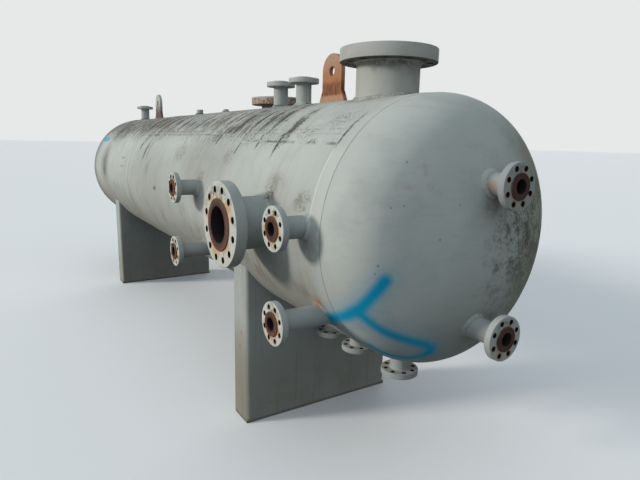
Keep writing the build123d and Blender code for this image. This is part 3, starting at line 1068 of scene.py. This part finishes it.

# %% [markdown]
# ## Nozzle paint
#
# The nozzles share the tank's grey, painted darker and bluer below the top as painted shade. Their drilled
# faces were brushed with a paler coat, except on the head, whose nozzles' faces keep the grey as painted
# shade. The sealing faces and bores were left bare, so they are dark rust; the bolt holes and the deep part
# of the bore are painted black as painted shade. Rust has crept out from the raised face in patches, and
# round a few of the bolt holes, and behind the drains' flanges, where the wet lingers, the holes weep rust.
# The back of the largest flange and the top of its neck are painted dark brown, as painted shade with brown
# staining. A material made per flange size keeps the sizes exact.

# %% Nozzle paint
nozzle_grey = colour(0.43, 0.445, 0.415)
dull_and_shaded_nozzle = colour(0.265, 0.29, 0.288)
face_cream = colour(0.56, 0.56, 0.5)
face_dull = colour(0.4, 0.39, 0.335)
dirty_face = colour(0.15, 0.14, 0.105)
peach_stain = colour(0.56, 0.36, 0.18)
fresh_rust = colour(0.36, 0.135, 0.045)
pink_rust = colour(0.33, 0.205, 0.145)
bare_rust = colour(0.105, 0.038, 0.022)
dark_rust = colour(0.042, 0.018, 0.014)
brim_rust = colour(0.165, 0.066, 0.04)
brim_olive = colour(0.095, 0.068, 0.034)
bore_rust = colour(0.02, 0.01, 0.01)
under_shade_brown = colour(0.045, 0.028, 0.017)
warm_grey = colour(0.44, 0.4, 0.33)
rim_rust = colour(0.19, 0.092, 0.05)
rim_cream = colour(0.4, 0.335, 0.265)
painted_hole_shade = colour(0.012, 0.009, 0.008)
rusty_neck = Vector((1.167, -0.041, 1.32))


def nozzle_paint(name, size):
    paint, place, (x, y, z) = new_paint(name, nozzle_grey)
    own = paint.node("ShaderNodeAttribute", {"attribute_name": "place"}, {}, out="Vector")
    across, lift, along = own.split()
    out = (across * across + lift * lift).maths("SQRT")
    cloud = place.patches(9, 5, 0.6)
    wide = place.patches(15, 4, 0.6)
    fine = place.patches(60, 4, 0.68)
    grain = place.patches(240, 2, 0.6)
    back_face = -raised_face - size.thick

    paint.lay(cloud.step(0.42, 0.7) * 0.35, dull_and_shaded_nozzle)
    flecks = (fine + wide.sway(0.5)).step(0.7, 0.78)
    paint.lay(flecks * 0.5, root_brown)
    # Painted shade: nozzles below the top are painted darker and bluer, the upper head nozzle most, and the
    # head nozzles' faces keep the grey instead of the paler coat.
    at_head = x.step(0.94, 1.02)
    nozzle_shade_share = 0.45 - 0.2 * at_head + 0.55 * at_head * z.step(0.9, 1.2)
    paint.lay(z.step(1.62, 1.5) * nozzle_shade_share, dull_and_shaded_nozzle)
    on_face = along.step(-raised_face - 0.0012, -raised_face - 0.0002)
    cream = paint.blend(wide.step(0.5, 0.66), face_cream, face_dull)
    paint.lay(on_face * (1 - at_head * 0.85), cream)

    beyond = out - size.face
    blotch = (wide + cloud.sway(0.4)).step(0.42, 0.58)
    spread = size.radius - size.face
    reach = 0.004 + 0.8 * spread * blotch
    creep = (beyond + 0.3 * spread * (0.5 - fine)).step(reach, reach * 0.2 - 0.004) * on_face
    paint.lay(creep * (0.8 - 0.55 * at_head), peach_stain)
    flakes = (fine + wide.sway(0.5) - beyond * (0.2 / spread)).step(0.48, 0.6)
    upper_side = 0.3 + 0.7 * (across + lift).step(0, size.face * 0.5)
    flaking = 0.45 if size == large else 1
    paint.lay(creep * flakes * upper_side * flaking * (0.9 - 0.4 * at_head), fresh_rust)
    grimy = (lift + fine.sway(0.1)).step(size.face * 0.85, size.face * 1.25)
    grimy = grimy * beyond.step(spread, spread * 0.4) * on_face * fine.step(0.36, 0.54)
    paint.lay(grimy * 0.65, dirty_face)

    ring = lift.maths("ARCTAN2", across) * (size.bolts / (2 * pi))
    swing = (ring.maths("FRACT") - 0.5) * (2 * pi / size.bolts)
    hole_gap = out * out + size.bolt_ring ** 2 - 2 * size.bolt_ring * out * swing.maths("COSINE")
    hole_gap = hole_gap.maths("MAXIMUM", 0).maths("SQRT")
    behind = along.step(back_face + 0.002, back_face - 0.001)
    weeping = (hole_gap + fine.sway(0.9) * size.hole).step(size.hole * 1.7, size.hole * 0.9)
    low_hole = at_head * lift.step(-0.01, -0.04)
    weeping = weeping * (wide.step(0.54, 0.62) * 0.6 | behind * z.step(0.7, 0.6) * 0.9 | low_hole * 0.9)
    drilled = along.step(back_face - 0.004, back_face + 0.002)
    paint.lay(weeping * (drilled | behind), fresh_rust)
    # Painted shade: the walls of the bolt holes are painted black.
    in_hole = hole_gap.step(size.hole * 1.05, size.hole * 1.01) * drilled
    paint.lay(in_hole, painted_hole_shade)

    sealing = (out + fine.sway(0.006)).step(size.face + 0.003, size.face - 0.001)
    rusty = sealing * along.step(-raised_face - 0.002, -raised_face * 0.6)
    worn = paint.blend((fine + wide.sway(0.3)).step(0.38, 0.62), bare_rust, dark_rust)
    worn = paint.blend(wide.step(0.5, 0.64) * fine.step(0.45, 0.6) * 0.55, worn, fresh_rust)
    brim = (out + fine.sway(0.01)).step(size.face * 0.84, size.face * 0.96)
    upper = (lift + cloud.sway(1.2 * size.face)).step(0, size.face * 0.5)
    brim_mix = paint.blend(upper, brim_rust, brim_olive)
    worn = paint.blend(brim * 0.65 * (1 - at_head), worn, brim_mix)
    inner = (out + fine.sway(0.01)).step(size.face * 0.88, size.bore * 1.02)
    worn = paint.blend(inner * 0.75 | at_head * 0.85, worn, dark_rust)
    paint.lay(rusty, worn)
    # Painted shade: the bore turns black deeper in.
    in_bore = out.step(size.bore * 1.03, size.bore * 1.01)
    deep = along.step(-0.002, -size.bore * 0.5)
    paint.lay(in_bore, paint.blend(deep, bore_rust, painted_hole_shade))

    if size == largest:
        # Painted shade with brown staining: the back of the flange and the top of the neck under it are
        # painted dark brown.
        shaded = behind * out.step(size.barrel + 0.002, size.barrel + 0.02)
        paint.lay(0.25, warm_grey)
        paint.lay(shaded * (0.9 + 0.5 * wide), under_shade_brown)
        neck_shade_and_grime = (along + cloud.sway(0.12)).step(back_face - 0.06, back_face - 0.002) * behind
        paint.lay(neck_shade_and_grime * 0.5 * (wide + fine.sway(0.5)).step(0.45, 0.65), under_shade_brown)
    if size == small:
        patch = place.distance(rusty_neck) + fine.sway(0.03)
        paint.lay(patch.step(0.036, 0.012) * 0.6, pink_rust)
    if size == large:
        aloft = z.step(1.5, 1.56) * along.step(-raised_face - 0.004, -raised_face - 0.012)
        rim_mix = paint.blend((fine + wide.sway(0.6)).step(0.42, 0.56), rim_cream, rim_rust)
        paint.lay(aloft * 0.9, rim_mix)
    return paint.finish(0.6 + 0.25 * cloud, grain * 0.3 + fine * 0.6 + cloud, 0.0004)


sizes = {"small": small, "large": large, "largest": largest}
nozzle_paints = {size: nozzle_paint(name + "_nozzle_enamel", size) for name, size in sizes.items()}
for node, piece in nozzle_pieces.items():
    coat([piece], nozzle_paints[nozzles[node][1]])
print("nozzles painted")

# %% [markdown]
# ## Saddles
#
# The saddles and the half couplings on top carry the tank's grey, darker with dust near the ground and with
# thin stains running down. Under the tank the far saddle is painted darker, as painted shade. Rust has broken
# out in spots.

# %% Saddle paint
saddle_grey = colour(0.4, 0.42, 0.395)
saddle_dust = colour(0.2, 0.168, 0.12)
far_shade = colour(0.14, 0.15, 0.14)
lug_brown = colour(0.12, 0.075, 0.055)
rust_spots = [Vector((0.014, -0.458, 0.486)), Vector((-0.007, -0.458, 0.407))]


def saddle_paint():
    paint, place, (x, y, z) = new_paint("saddle_enamel", saddle_grey)
    cloud = place.patches(5, 5, 0.6)
    fine = place.patches(48, 4, 0.68)
    grain = place.patches(240, 2, 0.6)
    paint.lay(cloud.step(0.42, 0.72) * 0.5, dull_grey)
    # Painted shade: the far saddle is darkened under the tank, apart from its end face.
    far_shade_mask = x.step(-1.5, -2) * z.step(1.4, 1.2) * y.step(0.25, -0.15) * y.step(-0.456, -0.45)
    paint.lay(far_shade_mask * (0.3 + 0.4 * cloud), far_shade)
    low = (z + cloud.sway(0.3)).step(0.56, 0.16)
    end_face = y.step(-0.45, -0.456) * x.step(-2, -1) * (z + cloud.sway(0.2)).step(0.62, 0.34)
    paint.lay(end_face * 0.5, saddle_dust)
    paint.lay(low * 0.6 * (0.6 + 0.8 * (cloud - 0.25)), saddle_dust)
    runs = place.stretch(38, 38, 1.8).patches(1, 4, 0.65)
    paint.lay((runs + fine.sway(0.3)).step(0.5, 0.72) * 0.32, saddle_dust)
    spots = (fine + cloud.sway(0.3)).step(0.68, 0.76)
    for spot in rust_spots:
        gap = place.distance(spot) + fine.sway(0.02)
        spots = spots | gap.step(0.014, 0.006)
    paint.lay(spots * 0.75, fresh_rust)
    edge = (z + fine.sway(0.02)).step(0.022, 0.008)
    paint.lay(edge * 0.6, lug_brown)
    return paint.finish(0.66 + 0.2 * cloud, grain * 0.3 + cloud, 0.0004)


coat(saddle_pieces + coupling_pieces, saddle_paint())
print("saddle paint on", len(saddle_pieces + coupling_pieces), "pieces")

# %% [markdown]
# ## Lifting lugs
#
# The near lug was only primed. Its orange has weathered in bands, darkest above the foot. The
# far lug still has white paint on top, and rust has come through from below.

# %% Lug paint
primer_pale = colour(0.435, 0.3, 0.22)
primer_orange = colour(0.405, 0.178, 0.088)
primer_dark = colour(0.12, 0.044, 0.02)
lug_white = colour(0.5, 0.5, 0.47)


def near_lug_paint():
    paint, place, (x, y, z) = new_paint("lug_primer", primer_orange)
    cloud = place.patches(14, 5, 0.65)
    fine = place.patches(80, 3, 0.7)
    runs = place.stretch(110, 110, 9).patches(1, 4, 0.65)
    paint.lay((z + cloud.sway(0.12)).step(1.77, 1.87) * 0.75, primer_pale)
    band = (z + runs.sway(0.03)).step(1.683, 1.695) * (z + runs.sway(0.06)).step(1.762, 1.735)
    paint.lay(band * (0.45 + 0.5 * runs.step(0.4, 0.6)), primer_dark)
    paint.lay(z.step(1.69, 1.678) * 0.5, primer_pale)
    paint.lay((fine + cloud.sway(0.3)).step(0.55, 0.68) * 0.5, primer_dark)
    return paint.finish(0.7 + 0.2 * cloud, fine * 0.5 + cloud, 0.0006)


def far_lug_paint():
    paint, place, (x, y, z) = new_paint("lug_enamel", lug_white)
    cloud = place.patches(16, 5, 0.65)
    fine = place.patches(75, 3, 0.7)
    paint.lay((z + cloud.sway(0.12)).step(1.82, 1.71) * 0.95, lug_brown)
    paint.lay(fine.step(0.5, 0.7) * 0.45, lug_brown)
    return paint.finish(0.7 + 0.2 * cloud, fine * 0.5 + cloud, 0.0006)


coat([near_lug], near_lug_paint())
coat([far_lug], far_lug_paint())
print("lugs painted")

# %% [markdown]
# ## Light
#
# The tank stands in hazy evening light. One broad sun, low on the left, throws each nozzle's
# shadow on the shell. The sky is bright above and dim behind, which turns the near head slowly
# from light to dark, and is written as a plain slope of brightness over direction. A second,
# weak and very broad sun from behind only serves whoever walks round the tank.

# %% Light
def sun(name, direction, energy, spread, tint):
    data = bpy.data.lights.new(name, "SUN")
    data.energy = energy
    data.angle = radians(spread)
    data.color = tint
    lamp = bpy.data.objects.new(name, data)
    lamp.rotation_euler = Vector(direction).to_track_quat("Z", "Y").to_euler()
    bpy.context.scene.collection.objects.link(lamp)
    return lamp


def seen_directly(paint):
    """1 for rays that come straight from the camera or by a mirror or glass, otherwise 0."""
    kinds = ("Camera", "Glossy", "Transmission")
    return reduce(or_, [paint.node("ShaderNodeLightPath", {}, {}, out=f"Is {kind} Ray") for kind in kinds])


sun("hazy_sun", (-0.345, -0.885, 0.318), 2.06, 11, (1, 0.95, 0.885))
sun("back_fill", (-0.72, 0.68, 0.12), 1.2, 60, (0.95, 0.98, 1))

world = bpy.data.worlds.new("evening_sky")
bpy.context.scene.world = world
sky = Paint(world)
towards = sky.node("ShaderNodeTexCoord", {}, {}, out="Generated")
slope = towards.vectors("DOT_PRODUCT", (0.44, -0.5, 0.56), out=1)
glow = (slope + 0.083).maths("MAXIMUM", 0.01)
tinted = sky.join(glow, glow, glow).stretch(0.81, 0.94, 1.03)
shown = sky.blend(seen_directly(sky), tinted, colour(0.8, 0.81, 0.81))
sky.fill(world.node_tree.nodes["Background"].inputs["Color"], shown)
bpy.context.scene.view_settings.view_transform = "Standard"
print("lamps:", len(bpy.data.lights))

# %% [markdown]
# ## Floor
#
# The floor looks pale, but it bounces little light, so the underside stays dark. One material
# can do both, because it can ask what kind of ray has met it.

# %% Floor
floor_mesh = bpy.data.meshes.new("studio_floor")
bm = bmesh.new()
bmesh.ops.create_grid(bm, x_segments=1, y_segments=1, size=150)
bm.to_mesh(floor_mesh)
bm.free()
floor = bpy.data.objects.new("studio_floor", floor_mesh)
bpy.context.scene.collection.objects.link(floor)
ground = Paint(bpy.data.materials.new("studio_floor"))
pale = ground.blend(seen_directly(ground), colour(0.04, 0.04, 0.04), colour(0.95, 0.95, 0.95))
ground.fill(ground.tree.nodes["Principled BSDF"].inputs["Base Color"], pale)
ground.tree.nodes["Principled BSDF"].inputs["Roughness"].default_value = 0.95
floor_mesh.materials.append(ground.owner)
print("floor set")
